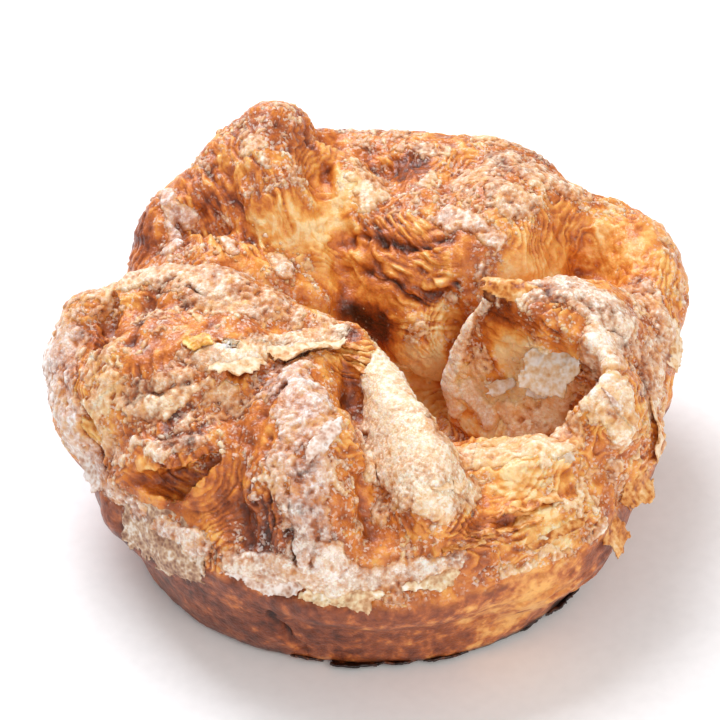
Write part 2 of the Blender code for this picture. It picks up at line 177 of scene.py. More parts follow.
# Browning: centre, reach, amount added (1 is burnt, negative is pale); some entries are painted shade.
BROWNING_AND_SHADE = [
    ((-12, 17, 35), 6, -0.24), ((6, 30, 35), 4.5, 0.45), ((5, 8, 26), 4, 0.10), ((-2, 22, 35), 5, -0.20),
    ((-6, 20, 35), 4, -0.26), ((-9, 14, 31.5), 5, -0.16), ((-4, 24, 37), 4, -0.12),
    # The three dark spots on this line and (0, 11, 22) on the next paint shade into the open slit under the
    # nose.
    ((-3.6, 10.8, 25.8), 2.4, 0.30), ((-1.0, 9.9, 24.4), 3.0, 0.44), ((1.8, 8.2, 23.5), 2.8, 0.40),
    ((34, 20, 30), 9, -0.12), ((24, 11, 30), 7, -0.22), ((0, 11, 22), 6, 0.45), ((9, 6, 14), 9, -0.05),
    ((22, -4, 28), 7, -0.22), ((16, 1, 37), 3, 0.35), ((-3, -8, 37), 2.5, 0.35), ((14, -37, 24), 5, 0.12),
    ((-2, -17, 32), 4, 0.08), ((-26, -26, 29), 6, 0.12), ((-24, -13, 38), 2, -0.25), ((-38, -5, 33), 4, 0.25),
    # (22, -38, 10) makes the foot paler at the front right and (-30, -30, 8) on the next line darker at its
    # left: partly its own browning, partly painted light and shade.
    ((-35, 25, 30), 5, 0.30), ((-25, 28, 36), 7, 0.10), ((22, -38, 10), 11, -0.33), ((20, -33, 24), 9, -0.10),
    ((-30, -30, 8), 20, 0.18), ((-8, -40, 8), 12, 0.12), ((-8, -30, 33), 4, 0.12), ((36, -4, 33), 4, 0.12),
    ((-30, -18, 33), 9, 0.10), ((-26, 2, 39), 9, 0.06), ((-16, 33, 43), 8, 0.12), ((-6, 42, 36), 9, 0.12),
    ((10, 41, 35), 9, 0.12), ((24, 35, 34), 8, 0.10), ((-32, 20, 31), 6, 0.06), ((-16, -35, 25), 6, 0.30),
    ((-8, -34, 30), 5, 0.10), ((23, -7, 27), 8, -0.52), ((13, -9, 22), 8, -0.30), ((5, 16, 33), 7, 0.06),
    ((8, 6, 14), 9, -0.38), ((14, -1, 19), 6, -0.42), ((18, -6, 16), 6, -0.42), ((9, 5, 21), 5, -0.18),
    ((19, 0, 34.5), 4, 0.30), ((24, -4, 34), 5, 0.28), ((8, 7, 27), 5.5, -0.20), ((18, -14, 28), 7, -0.15),
    ((27, -30, 23), 8, -0.12), ((-1.5, -12, 35), 3, -0.06), ((-4.5, -7.5, 36.3), 2.0, 0.30),
    ((-17, 17, 34), 6, -0.10), ((-12, 12, 31), 2.6, 0.30), ((-36, 22, 28), 6, 0.22), ((24, 2, 35), 6, 0.10),
    ((34, -17, 30), 6, -0.10), ((-23, 24, 35), 7, 0.06), ((-17, 26, 38), 5, -0.10), ((-43, -6, 28), 7, 0.10),
    ((9, -16, 30), 6, -0.20), ((-12, -37, 25), 6, 0.22), ((18, -38, 20), 6, 0.05), ((20, -22, 27), 10, -0.24),
]

# Places that the sugar has left bare: centre, reach, how much less sugar.
BARE = [
    ((-12, 18, 35), 6, 0.9), ((-6, 18, 33), 5, 0.5), ((5, 12, 32), 8, 0.6), ((33, 18, 30), 10, 0.55),
    ((20, 0, 31), 5, 0.7), ((7, 6, 16), 8, 1.2), ((-2.2, -24, 29), 2.2, 0.6), ((12, -36, 23), 5, 0.4),
    ((-2.2, -11.5, 35.5), 3.4, 1.3), ((-38, -5, 33), 3.4, 0.9), ((-40, -16, 26), 2.2, 0.6),
    ((-22, -31, 27), 6, 0.7), ((6, 30, 35), 4, 0.7), ((24, 12, 30), 7, 0.5), ((-24, 26, 36), 6, 0.2),
    ((-31, -27, 25), 5, 1.2), ((-27, -29, 26), 4, 1.2), ((-24, -31, 26), 4, 0.7), ((-17, 16, 34), 7, 0.60),
    ((-35.5, 21.5, 28.5), 5, 1.3), ((-8, 31, 38), 6, 0.35), ((-3, 14, 30), 6, 0.5), ((17, -31, 25), 7, 0.25),
    ((-1.6, -31, 28), 2.6, 0.5), ((-14, -16, 36), 2, 0.3), ((20.5, -1.5, 36.5), 2.0, 0.8),
    ((-17, -34, 25), 3.5, 0.35), ((-1, 9.8, 24.5), 5, 1.2), ((2, 8, 24), 4, 1.0),
]

# Uneven surfaces and colours: size of the bumps, their height or strength, seed.
SWELLS = [(11, 0.50, 3), (5.5, 0.35, 4)]
FOOT_BUMPS = [(8, 0.30, 5), (2.5, 0.12, 17), (1.1, 0.06, 7)]
SUGAR_LUMPS = [(2.2, 0.08, 8), (1.15, 0.07, 9), (0.62, 0.15, 18)]
RAGGED_SUGAR = [(5, 0.36, 22), (2.3, 0.30, 23), (1.15, 0.26, 24), (0.7, 0.18, 26)]
BAKE_CLOUDS = [(14, 0.10, 11), (5, 0.13, 12), (2.2, 0.10, 19)]
EVEN_BAKE = 0.44


def noise(points, size, seed):
    """Smooth seeded noise from about -1 to 1, with bumps this many millimetres apart."""
    random = np.random.default_rng(seed)
    shuffled = random.permutation(256)
    slopes = random.normal(size=(256, 3))
    slopes /= np.linalg.norm(slopes, axis=1)[:, None]
    scaled = np.asarray(points) / size + 40.5
    corner = np.floor(scaled).astype(np.int64)
    part = scaled - corner
    ease = part * part * part * (part * (part * 6 - 15) + 10)
    total = np.zeros(len(scaled))
    for x in (0, 1):
        for y in (0, 1):
            for z in (0, 1):
                step = np.array((x, y, z))
                cell = corner + step
                found = shuffled[cell[:, 0] & 255]
                found = shuffled[(found + cell[:, 1]) & 255]
                found = shuffled[(found + cell[:, 2]) & 255]
                weight = np.prod(np.where(step == 1, ease, 1 - ease), axis=1)
                total += weight * ((part - step) * slopes[found]).sum(axis=1)
    return total * 1.7


def bumps(points, sizes):
    """Noise of several sizes laid over each other: bump size, height and seed of each."""
    return sum(height * noise(points, size, seed) for size, height, seed in sizes)


def smooth_step(low, high, value):
    """From 0 to 1 as the value goes from low to high."""
    share = np.clip((value - low) / (high - low), 0, 1)
    return share * share * (3 - 2 * share)


def line_distance(points, line):
    """Distance from each point to a line of (x, y, z, width) stops, and the width at its nearest place."""
    line = np.array(line, float)
    nearest = np.full(len(points), 1e9)
    width = np.zeros(len(points))
    for start, end in zip(line[:-1], line[1:]):
        along = end[:3] - start[:3]
        share = np.clip((points - start[:3]) @ along / (along @ along), 0, 1)
        distance = np.linalg.norm(points - start[:3] - share[:, None] * along, axis=1)
        closer = distance < nearest
        nearest = np.where(closer, distance, nearest)
        width = np.where(closer, start[3] + share * (end[3] - start[3]), width)
    return nearest, width


def points_of(mesh):
    """The mesh's vertices in millimetres."""
    flat = np.empty(len(mesh.vertices) * 3, np.float32)
    mesh.vertices.foreach_get("co", flat)
    return flat.reshape(-1, 3).astype(float) / MM


def move_points(mesh, points):
    mesh.vertices.foreach_set("co", (points * MM).astype(np.float32).ravel())
    mesh.update()


def normals_of(mesh):
    flat = np.empty(len(mesh.vertices) * 3, np.float32)
    mesh.vertex_normals.foreach_get("vector", flat)
    return flat.reshape(-1, 3).astype(float)


def edges_of(mesh):
    flat = np.empty(len(mesh.edges) * 2, np.int32)
    mesh.edges.foreach_get("vertices", flat)
    return flat.reshape(-1, 2)


def blurred(values, edges, rounds):
    """Values at the vertices, evened out with their neighbours this many times."""
    values = np.asarray(values, float)
    flat = values.reshape(len(values), -1)
    count = np.bincount(edges.ravel(), minlength=len(flat)).clip(1)
    for _ in range(rounds):
        summed = np.stack([
            np.bincount(edges[:, 0], flat[edges[:, 1], k], len(flat))
            + np.bincount(edges[:, 1], flat[edges[:, 0], k], len(flat))
            for k in range(flat.shape[1])
        ], axis=1)
        flat = 0.5 * flat + 0.5 * summed / count[:, None]
    return flat.reshape(values.shape)


def write_attribute(mesh, name, values):
    attribute = mesh.attributes.get(name) or mesh.attributes.new(name, "FLOAT", "POINT")
    attribute.data.foreach_set("value", np.asarray(values, np.float32))


def read_attribute(mesh, name):
    values = np.empty(len(mesh.vertices), np.float32)
    mesh.attributes[name].data.foreach_get("value", values)
    return values.astype(float)


def select_only(piece):
    bpy.ops.object.select_all(action="DESELECT")
    bpy.context.view_layer.objects.active = piece
    piece.select_set(True)


def apply_modifier(piece, kind, **settings):
    select_only(piece)
    modifier = piece.modifiers.new(kind.title(), kind)
    for setting, value in settings.items():
        setattr(modifier, setting, value)
    bpy.ops.object.modifier_apply(modifier=modifier.name)


# ---------------------------------------------------------------- the dough

def cut_gap(dough, stops):
    """Opens a tapering gap between two layers."""
    curve = bpy.data.curves.new("gap", "CURVE")
    curve.dimensions = "3D"
    curve.bevel_depth = 1.0
    curve.bevel_resolution = 3
    curve.use_fill_caps = True
    spline = curve.splines.new("POLY")
    spline.points.add(len(stops) - 1)
    for point, (x, y, z, radius) in zip(spline.points, stops):
        point.co = (x, y, z, 1)
        point.radius = radius
    cutter = bpy.data.objects.new("gap", curve)
    bpy.context.collection.objects.link(cutter)
    cutter.scale = (MM, MM, MM)
    select_only(cutter)
    bpy.ops.object.convert(target="MESH")
    bpy.ops.object.transform_apply(location=True, rotation=True, scale=True)
    apply_modifier(dough, "BOOLEAN", object=cutter, operation="DIFFERENCE", solver="EXACT")
    bpy.data.objects.remove(cutter)


def start_dough():
    """A copy of the solid with its gaps opened, meshed evenly and finely enough to take the relief."""
    dough = bpy.data.objects.new("dough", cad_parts["pastry"].data.copy())
    bpy.context.collection.objects.link(dough)
    dough.data.materials.clear()
    select_only(dough)
    bpy.ops.object.mode_set(mode="EDIT")
    bpy.ops.mesh.select_all(action="SELECT")
    bpy.ops.mesh.remove_doubles(threshold=0.00001)
    bpy.ops.object.mode_set(mode="OBJECT")
    for stops in GAPS.values():
        cut_gap(dough, stops)
    apply_modifier(dough, "REMESH", mode="VOXEL", voxel_size=VOXEL * MM)
    apply_modifier(dough, "SMOOTH", factor=0.5, iterations=8)
    return dough


def leaf_edge(run, spacing, seed):
    """Saw-tooth terraces along the run: each leaf rises slowly, breaks off sharply and has its own height."""
    place = run / spacing
    random = np.random.default_rng(seed)
    heights = 0.3 + 0.9 * random.random(512)
    own = heights[np.floor(place).astype(int) % 512]
    turn = place % 1.0
    return (smooth_step(0.0, 0.75, turn) * (1 - smooth_step(0.86, 1.0, turn)) - 0.5) * own


def layer_relief(points):
    """Where the cut edges of the layers show: height, how clearly they show, and the run across."""
    height = np.zeros(len(points))
    strength = np.zeros(len(points))
    across = np.zeros(len(points))
    second = np.zeros(len(points))
    for number, (centre, reach, kind, way, spacing, depth) in enumerate(LAYERS.values()):
        near = np.flatnonzero(np.linalg.norm(points - centre, axis=1) < reach * 1.3)
        there = points[near]
        away = np.linalg.norm(there - centre, axis=1) / reach
        share = 1 - smooth_step(0.45, 1.0, away + 0.25 * noise(there, 5, 60 + number))
        if kind == "around":
            run = np.linalg.norm(there - way, axis=1)
        else:
            run = there @ (np.array(way) / np.linalg.norm(way))
        run = run + 1.5 * noise(there, 8, 70 + number) + 0.7 * noise(there, 2.6, 80 + number)
        ragged = np.clip(0.45 + 1.5 * noise(there, 2.6, 90 + number), 0, 1.3)
        height[near] += share * depth * 1.6 * leaf_edge(run, spacing, 40 + number) * ragged
        clearer = share > strength[near]
        across[near] = np.where(clearer, run, across[near])
        second[near] = np.maximum(second[near], np.minimum(strength[near], share))
        strength[near] = np.maximum(strength[near], share)
    return height, strength * smooth_step(0.0, 0.35, strength - second), across


def sugar_cover(points, upper):
    """How thickly the sugar lies at each point, and how frosted it is there, the grey white of it partly a
    painted cool reflection.
    """
    amount = 0.30 * upper
    # How grey white the sugar is: frosted sugar, and partly a painted cool reflection.
    frost_and_sheen = 0.3 + 0.3 * noise(points, 12, 20)
    best = np.zeros(len(points))
    warped = points + 0.9 * noise(points, 4, 21)[:, None]
    for line, plenty, frost_and_sheen_here in CRUSTS.values():
        distance, width = line_distance(warped, line)
        share = 1 - smooth_step(0.35, 1.25, distance / width)
        amount = np.maximum(amount, share * plenty)
        frost_and_sheen += np.where(share > best, (frost_and_sheen_here - frost_and_sheen) * share, 0)
        best = np.maximum(best, share)
    for centre, reach, less in BARE:
        away = np.linalg.norm(warped - centre, axis=1) / reach
        amount -= less * (1 - smooth_step(0.5, 1.1, away))
    return (amount + bumps(points, RAGGED_SUGAR)) * upper, np.clip(frost_and_sheen, 0, 1)


def shape_dough(dough):
    """Works the folds' relief into the surface and records the finish at each vertex."""
    mesh = dough.data
    points = points_of(mesh)
    edges = edges_of(mesh)
    normals = normals_of(mesh)
    height = points[:, 2]
    x = points[:, 0] - FOOT_CENTRE[0]
    y = points[:, 1] - FOOT_CENTRE[1]
    outward = (normals[:, 0] * x + normals[:, 1] * y) / np.hypot(x, y).clip(1e-6)
    wobble = noise(points, 2.6, 1)
    underside = 1 - smooth_step(0.0, 0.5, height)
    foot = 1 - smooth_step(LIP_HEIGHT - 2.5, LIP_HEIGHT - 0.5, height + 1.0 * noise(points, 5, 2))
    foot = foot * smooth_step(-0.2, 0.3, outward) * (np.hypot(x, y) > HOLLOW_REACH)
    # The underside has the foot's finish, and no sugar.
    foot = np.maximum(foot, 1 - smooth_step(0.5, 2.5, height))
    upper = 1 - foot

    # Broad swells, sharp furrows between them, and the broken edges of single leaves.
    # Sugar fills the finer ones.
    amount, frost_and_sheen = sugar_cover(points, upper)
    unfilled = 1 - SUGAR_FILL * smooth_step(*CRUST_STARTS, amount)
    relief = upper * bumps(points, SWELLS)
    relief += upper * 0.8 * (0.25 - np.abs(noise(points, 6.5, 15)))
    relief += unfilled * upper * 0.5 * (0.25 - np.abs(noise(points, 3.0, 16)))
    flaky = np.clip(0.5 + 1.2 * noise(points, 9, 27), 0, 1) * upper
    run = 9 * noise(points, 12, 28) + 0.5 * noise(points, 1.6, 29)
    relief += unfilled * flaky * 0.45 * leaf_edge(run, 1.0, 30)
    relief += foot * bumps(points, FOOT_BUMPS)
    layers, layered, across = layer_relief(points)
    relief += unfilled * layers
    crease_browning_and_shade = np.zeros(len(points))
    hollowed = np.zeros(len(points))
    broken = np.clip(0.75 + 0.6 * noise(points, 4, 25), 0.15, 1.2)
    # Each valley's colour is darkened along it: browning, and painted shade in the furrow.
    for line, width, depth, brown in CREASES.values():
        distance, _ = line_distance(points + 0.6 * wobble[:, None], [(*p, 0) for p in line])
        share = np.exp(-(distance / width) ** 2) * broken
        relief -= share * depth
        crease_browning_and_shade = crease_browning_and_shade + brown * share
        hollowed = np.maximum(hollowed, share)

    amount -= 0.5 * smooth_step(0.3, 0.9, hollowed)
    crust = smooth_step(*CRUST_STARTS, amount)
    lift = crust * (0.34 + 0.34 * smooth_step(0.5, 1.1, amount) + bumps(points, SUGAR_LUMPS))
    relief += (1 - crust) * upper * 0.14 * noise(points, 1.2, 10)
    relief *= 1 - underside

    points = points + normals * relief[:, None]
    points[:, 2] = np.maximum(points[:, 2], 0.0)
    move_points(mesh, points)

    crusted = points + normals * lift[:, None]
    broad = ((blurred(points, edges, 100) - points) * normals).sum(axis=1)
    fine = ((blurred(crusted, edges, 16) - crusted) * normals).sum(axis=1)
    bake = EVEN_BAKE + upper * bumps(points, BAKE_CLOUDS) + crease_browning_and_shade
    # Darker in furrows, crevices and concave hollows and paler on ridges, from the surface's curvature:
    # painted shade laid over the browning.
    bake += (1 - 0.85 * foot) * (0.75 * np.clip(fine, -0.2, 0.24) + 0.12 * np.clip(broad, -0.5, 0.8))
    for centre, reach, amount_there in BROWNING_AND_SHADE:
        away = np.linalg.norm(points - centre, axis=1) / reach + 0.25 * wobble
        bake += amount_there * (1 - smooth_step(0.4, 1.15, away))
    bake = bake + 0.06 * foot
    bake -= 0.45 * np.clip(bake - 0.62, 0, 1)
    write_attribute(mesh, "bake", np.clip(bake, 0, 1))
    write_attribute(mesh, "sugar", np.clip(amount, 0, 1.5))
    # Raised is high on ridges and low in pits; the crust uses it to paint shade into the pits and lighten the
    # ridges.
    write_attribute(mesh, "raised", np.clip(0.5 - 1.6 * fine, 0, 1))
    write_attribute(mesh, "lift", lift)
    write_attribute(mesh, "frost_and_sheen", frost_and_sheen)
    write_attribute(mesh, "foot", foot)
    write_attribute(mesh, "burnt", burnt_edge(points))
    write_attribute(mesh, "layered", layered)
    write_attribute(mesh, "across", across)
    write_attribute(mesh, "hidden", (normals[:, 2] < -0.35) | (points[:, 2] < 6) | (broad > 2.5))


def burnt_edge(points):
    """Where the caramel at the foot has burnt: a low band at the front right."""
    turn = np.degrees(np.arctan2(points[:, 1] - FOOT_CENTRE[1], points[:, 0] - FOOT_CENTRE[0]))
    along = smooth_step(-102, -88, turn) * (1 - smooth_step(-30, -15, turn))
    top = 0.6 + 1.4 * smooth_step(-60, -40, turn)
    wavy = points[:, 2] + 0.9 * noise(points, 4, 13) + 0.5 * noise(points, 1.5, 14)
    return np.clip(along + 0.25, 0, 1) * (1 - smooth_step(top, top + 0.9, wavy))


def delete_points(piece, unwanted):
    """Takes out the vertices in this mask, in edit mode."""
    select_only(piece)
    bpy.ops.object.mode_set(mode="EDIT")
    bpy.ops.mesh.select_mode(type="VERT")
    bpy.ops.mesh.select_all(action="DESELECT")
    bpy.ops.object.mode_set(mode="OBJECT")
    piece.data.vertices.foreach_set("select", unwanted)
    bpy.ops.object.mode_set(mode="EDIT")
    bpy.ops.mesh.delete(type="VERT")
    bpy.ops.object.mode_set(mode="OBJECT")


def lift_crusts(dough):
    """The sugar crust, in one piece for each zone: the dough's surface there raised and given a thickness."""
    points = points_of(dough.data)
    edges = edges_of(dough.data)
    lift = read_attribute(dough.data, "lift")
    upright = blurred(normals_of(dough.data), edges, 3)
    upright /= np.linalg.norm(upright, axis=1)[:, None].clip(1e-6)
    bed = blurred(points, edges, 12)
    middles = np.array(list(CRUST_ZONES.values()), float)
    zone = np.argmin(np.linalg.norm(points[:, None, :2] - middles[None], axis=2), axis=1)
    crusts = []
    for number, name in enumerate(CRUST_ZONES):
        crust = bpy.data.objects.new(name, dough.data.copy())
        bpy.context.collection.objects.link(crust)
        # Neighbouring pieces overlap by three edges, and the last of them dips out of sight.
        inside = blurred((zone == number).astype(float), edges, 3)
        kept = (inside > 0) & (blurred((lift > 0.02).astype(float), edges, 1) > 0)
        sunk = SEAM_DIP * np.clip(1 - inside / 0.25, 0, 1)
        move_points(crust.data, bed)
        delete_points(crust, ~kept)
        apply_modifier(crust, "SOLIDIFY", thickness=CRUST_DEPTH * MM, offset=-1.0, use_even_offset=False)
        shell = points_of(crust.data)
        shell[:kept.sum()] = (points + upright * (lift - CRUST_SINK - sunk)[:, None])[kept]
        move_points(crust.data, shell)
        crust.data.shade_smooth()
        crusts.append(crust)
    return crusts


def thin_dough(dough):
    """Keeps the mesh fine on bare dough and coarse under the crust, on the foot and beneath."""
    mesh = dough.data
    lift, foot, hidden = (read_attribute(mesh, name) for name in ("lift", "foot", "hidden"))
    plain = np.maximum.reduce([0.10 * np.ones(len(lift)), 0.35 * foot, hidden, lift > 0.25])
    group = dough.vertex_groups.new(name="plain")
    for level in np.unique(np.round(plain, 1)):
        group.add(np.flatnonzero(np.round(plain, 1) == level).tolist(), float(level), "REPLACE")
    count = sum(len(polygon.vertices) - 2 for polygon in mesh.polygons)
    apply_modifier(dough, "DECIMATE", ratio=DOUGH_TRIANGLES / count, vertex_group="plain",
                   vertex_group_factor=THINNING_BIAS)
    dough.vertex_groups.clear()
    dough.data.shade_smooth()


# ---------------------------------------------------------------- sugar grains

# Kinds of loose grain: how many, smallest and largest size, how deep they sit.
GRAINS = {
    "fine_sugar": (1600, 0.16, 0.28, 0.45),
    "coarse_sugar": (260, 0.30, 0.50, 0.40),
}
# Where coarse sugar has caught: centre and reach.
COARSE_SPOTS = [
    ((-20, 15.5, 34), 4), ((-13, 12.5, 32.5), 4), ((-30, 3, 38), 5), ((30, -3, 37), 6), ((20, 22, 38), 7),
]


def one_grain():
    """One sugar crystal: a small block with its corners pulled in unevenly, about 1 across."""
    bpy.ops.object.select_all(action="DESELECT")
    bpy.ops.mesh.primitive_cube_add(size=1.0)
    grain = bpy.context.object
    bpy.ops.object.mode_set(mode="EDIT")
    bpy.ops.mesh.select_all(action="SELECT")
    bpy.ops.transform.vertex_random(offset=0.16, seed=4)
    bpy.ops.mesh.quads_convert_to_tris()
    bpy.ops.object.mode_set(mode="OBJECT")
    corners = points_of(grain.data) * MM
    faces = np.empty(len(grain.data.polygons) * 3, np.int32)
    grain.data.polygons.foreach_get("vertices", faces)
    bpy.data.objects.remove(grain)
    return corners, faces.reshape(-1, 3)


def random_turns(random, count):
    """Random rotation matrices."""
    quarter = random.normal(size=(count, 4))
    w, x, y, z = (quarter / np.linalg.norm(quarter, axis=1)[:, None]).T
    return np.stack([
        1 - 2 * (y * y + z * z), 2 * (x * y - z * w), 2 * (x * z + y * w),
        2 * (x * y + z * w), 1 - 2 * (x * x + z * z), 2 * (y * z - x * w),
        2 * (x * z - y * w), 2 * (y * z + x * w), 1 - 2 * (x * x + y * y),
    ], axis=1).reshape(-1, 3, 3)


def scattered_places(mesh, weight, count, random):
    """Random places on the mesh, drawn where the vertices' weight is high, and the faces' directions."""
    mesh.calc_loop_triangles()
    flat = np.empty(len(mesh.loop_triangles) * 3, np.int32)
    mesh.loop_triangles.foreach_get("vertices", flat)
    faces = flat.reshape(-1, 3)
    points = points_of(mesh)
    a, b, c = points[faces[:, 0]], points[faces[:, 1]], points[faces[:, 2]]
    across = np.cross(b - a, c - a)
    area = np.linalg.norm(across, axis=1)
    chance = area * weight[faces].mean(axis=1)
    running = np.cumsum(chance)
    chosen = np.searchsorted(running, random.random(count) * running[-1])
    u, v = random.random(count), random.random(count)
    flip = u + v > 1
    u, v = np.where(flip, 1 - u, u), np.where(flip, 1 - v, v)
    places = a[chosen] + u[:, None] * (b - a)[chosen] + v[:, None] * (c - a)[chosen]
    upright = across[chosen] / area[chosen][:, None].clip(1e-12)
    return places, upright, faces[chosen]


def mesh_from(name, points, faces):
    """A triangle mesh object from points in millimetres."""
    mesh = bpy.data.meshes.new(name)
    mesh.vertices.add(len(points))
    mesh.vertices.foreach_set("co", (points * MM).astype(np.float32).ravel())
    mesh.loops.add(len(faces) * 3)
    mesh.loops.foreach_set("vertex_index", faces.astype(np.int32).ravel())
    mesh.polygons.add(len(faces))
    mesh.polygons.foreach_set("loop_start", np.arange(0, len(faces) * 3, 3, dtype=np.int32))
    mesh.update(calc_edges=True)
    piece = bpy.data.objects.new(name, mesh)
    bpy.context.collection.objects.link(piece)
    return piece


def scatter_grains(name, dough, seed):
    """One kind of sugar grain, lying thickly where the crust is of that kind."""
    count, smallest, largest, depth = GRAINS[name]
    random = np.random.default_rng(seed)
    mesh = dough.data
    if name == "coarse_sugar":
        points = points_of(mesh)
        weight = sum(np.clip(1.2 - np.linalg.norm(points - spot, axis=1) / reach, 0, 1)
                     for spot, reach in COARSE_SPOTS)
    else:
        weight = 0.02 + np.clip(read_attribute(mesh, "sugar"), 0, 1) ** 2
    weight = weight * (read_attribute(mesh, "foot") < 0.1)
    weight = weight * (read_attribute(mesh, "hidden") < 0.5)
    places, upright, corners = scattered_places(mesh, weight, count, random)
    block, faces = one_grain()
    size = smallest + (largest - smallest) * random.random(count) ** 1.6
    stretch = size[:, None] * (0.7 + 0.6 * random.random((count, 3)))
    turns = random_turns(random, count)
    grains = np.einsum("nij,nkj->nki", turns, block[None] * stretch[:, None, :])
    grains += (places + upright * (size * (0.5 - depth))[:, None])[:, None, :]
    grains[:, :, 2] = np.clip(grains[:, :, 2], 0.0, None)
    all_faces = faces[None] + np.arange(count)[:, None, None] * len(block)
    piece = mesh_from(name, grains.reshape(-1, 3), all_faces.reshape(-1, 3))
    bake = read_attribute(mesh, "bake")[corners].mean(axis=1)
    write_attribute(piece.data, "bake", np.repeat(bake, len(block)))
    write_attribute(piece.data, "tint", np.repeat(random.random(count), len(block)))
    return piece


# ---------------------------------------------------------------- flakes and sheets

# Single stiff flakes: middle, long way, facing, length, width, curl along and across, finish.
FLAKES = {
    "window_flake": ((25.0, -7.8, 29.3), (1, -0.35, 0.25), (-0.25, -0.62, 0.74),
        10.8, 8.6, 0.6, -0.4, "clear"),
    "window_flake_low": ((18.4, -4.6, 23.0), (1, 0.1, 0.55), (-0.3, -0.6, 0.74),
        6.0, 2.8, 0.2, -0.2, "clear"),
    "window_flake_side": ((23.5, -9.4, 26.4), (1, -0.3, -0.1), (-0.2, -0.6, 0.77),
        4.6, 2.4, 0.2, 0.2, "clear"),
    "bulge_flake": ((-6.6, -29.6, 36.3), (0.62, 0.74, 0.25), (-0.2, -0.62, 0.76),
        10.5, 3.4, -0.5, -0.4, "frosted"),
    "tip_flake": ((20.5, -0.6, 37.8), (1, -0.2, -0.05), (0.0, -0.45, 0.89), 11.5, 4.6, -0.5, -0.9, "amber"),
    "tip_flake_dark": ((17.2, 0.6, 36.6), (0.5, -0.2, -0.85), (-0.3, -0.75, 0.3),
        4.6, 2.8, -0.2, -0.3, "toasted"),
    "saddle_flake": ((27.5, -23.5, 26.2), (1, 0.2, 0.1), (0.1, -0.7, 0.7), 3.4, 2.0, 0.2, 0.2, "clear"),
}

# Sheets that lie over the dough: middle, long way, facing, length, width, how far the upper and lower edges
# stand off (below 0 is sunk in), finish.
DRAPES = {
    "hanging_sheet": ((-29.2, -31.4, 18.8), (0.83, -0.55, -0.02), (-0.55, -0.83, 0.15),
        20.0, 12.0, -0.3, 1.5, "lace"),
    "rim_sheet": ((-40.5, -17.5, 20.5), (0.45, -0.85, -0.35), (-0.85, -0.45, 0.2),
        13.0, 6.0, -0.2, 1.2, "frosted"),
    "rim_sheet_back": ((-45.0, -5.0, 26.0), (0.05, -1, -0.15), (-0.95, 0, 0.3),
        14.0, 5.5, -0.2, 1.0, "frosted"),
    "lip_sheet_left": ((-14.0, -40.6, 19.0), (1, -0.22, 0), (-0.2, -0.95, 0.2),
        14.0, 5.0, -0.3, 1.0, "frosted"),
    "lip_sheet": ((-4.0, -42.6, 19.4), (1, -0.03, 0), (0, -0.98, 0.2), 15.0, 6.0, -0.3, 1.2, "straw"),
    "lip_sheet_right": ((8.0, -41.4, 20.4), (1, 0.18, 0), (0.15, -0.95, 0.2), 10.0, 4.0, -0.3, 1.0, "straw"),
    "flap_sheet": ((-9.5, -11.4, 37.4), (1, 0.35, -0.05), (0.05, -0.3, 0.95), 12.5, 5.4, -0.1, 1.5, "pale"),
    "flap_sheet_left": ((-18.5, -15.2, 37.5), (1, 0.25, 0.05), (0, -0.3, 0.95), 10.0, 4.8, -0.1, 1.3, "pale"),
    "yellow_sugar": ((-24.4, -12.7, 38.5), (1, 0.1, 0), (0, -0.2, 0.97), 5.0, 3.4, 0.5, 0.8, "golden"),
    "lobe_sheet_low": ((11.5, -31.5, 30.0), (0.95, 0.3, 0.05), (0.25, -0.45, 0.85),
        10.5, 6.5, -0.3, 1.5, "pale"),
    "stack_leaf_1": ((-2.4, -10.6, 35.8), (0.9, -0.40, -0.1), (-0.1, -0.5, 0.85),
        7.0, 1.6, -0.2, 0.9, "amber"),
    "stack_leaf_2": ((-1.8, -12.4, 35.3), (0.9, -0.40, -0.1), (-0.1, -0.5, 0.85),
        6.0, 1.5, -0.2, 0.8, "amber"),
    "stack_leaf_3": ((-1.4, -14.2, 34.6), (0.9, -0.40, -0.1), (-0.1, -0.5, 0.85),
        5.0, 1.4, -0.2, 0.8, "amber"),
    "right_sheet": ((34.0, -15.5, 31.0), (0.45, -0.8, -0.3), (0.6, -0.2, 0.77),
        8.0, 4.4, -0.2, 1.0, "frosted"),
    "right_fringe": ((41.5, -13.5, 22.5), (0.25, -0.9, -0.35), (0.95, -0.25, 0.15),
        12.0, 5.0, -0.2, 1.4, "pale"),
    "right_fringe_back": ((44.0, 2.0, 25.5), (0, 1, 0), (1, 0, 0.2), 13.0, 4.6, -0.2, 1.2, "pale"),
    "fringe": ((38.0, -21.5, 18.2), (0.55, 0.83, -0.05), (0.85, -0.5, 0.1), 8.0, 5.5, -0.3, 2.4, "amber"),
    "fringe_low": ((34.0, -27.3, 15.6), (0.62, 0.78, 0.1), (0.82, -0.55, 0.1), 6.0, 5.5, -0.3, 2.4, "amber"),
    "slope_leaf_1": ((18.5, -34.8, 23.8), (0.93, 0.35, 0.0), (0.2, -0.6, 0.77),
        15.0, 1.9, -0.3, 0.8, "amber"),
    "slope_leaf_2": ((22.5, -31.5, 25.2), (0.90, 0.42, 0.0), (0.2, -0.6, 0.77),
        13.0, 1.8, -0.3, 0.8, "amber"),
    "slope_leaf_3": ((26.5, -33.5, 21.6), (0.82, 0.57, 0.0), (0.4, -0.6, 0.65),
        15.0, 2.0, -0.3, 0.8, "amber"),
    "slope_leaf_4": ((12.5, -37.8, 23.2), (0.96, 0.25, 0.0), (0.1, -0.7, 0.7), 9.0, 1.8, -0.3, 0.7, "amber"),
}

